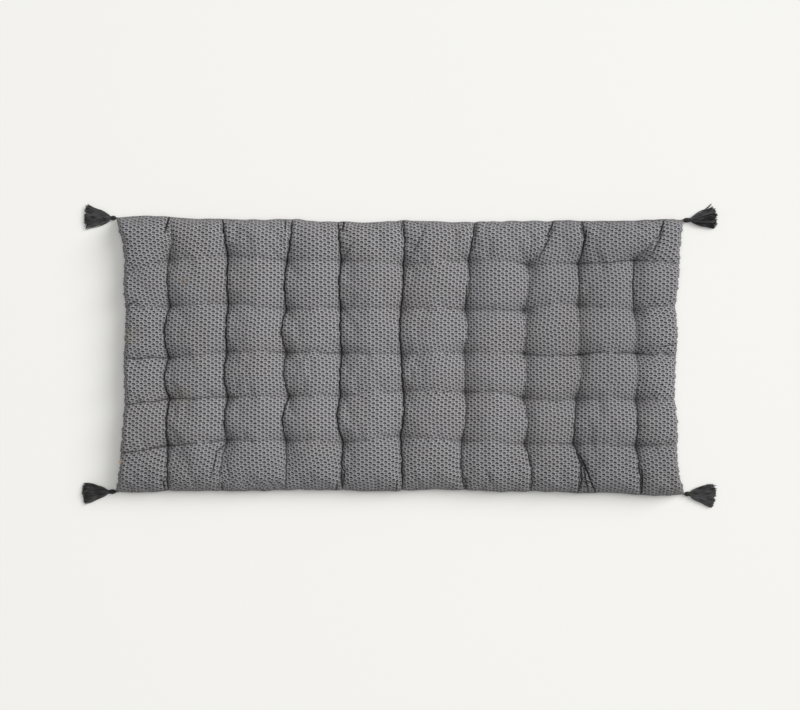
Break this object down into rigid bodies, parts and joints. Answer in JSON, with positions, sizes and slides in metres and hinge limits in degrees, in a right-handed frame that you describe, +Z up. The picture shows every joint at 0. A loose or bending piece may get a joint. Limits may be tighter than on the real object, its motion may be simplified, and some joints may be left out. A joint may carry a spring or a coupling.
{
  "type": "tufted floor mattress",
  "caption": "Soft filled floor mattress with tufts, long folds, drawn-in sides and a rounded seamed edge, and a yarn tassel at each corner; lies flat on a floor to sit or lie on.",
  "frame": {"origin": "on the floor, under the middle of the whole outline with its tassels", "axes": "+X along the length, +Y towards the back long edge, which is the upper edge in the picture, +Z up"},
  "size_m": [1.3452, 0.6338, 0.0675],
  "materials": {
    "cover_cloth": "matte printed cotton",
    "tassel_yarn": "matte yarn"
  },
  "bodies": {
    "root": {"mattress": "cover_cloth", "tassel_left_back": "tassel_yarn", "tassel_left_front": "tassel_yarn", "tassel_right_back": "tassel_yarn", "tassel_right_front": "tassel_yarn"}
  },
  "joints": []
}
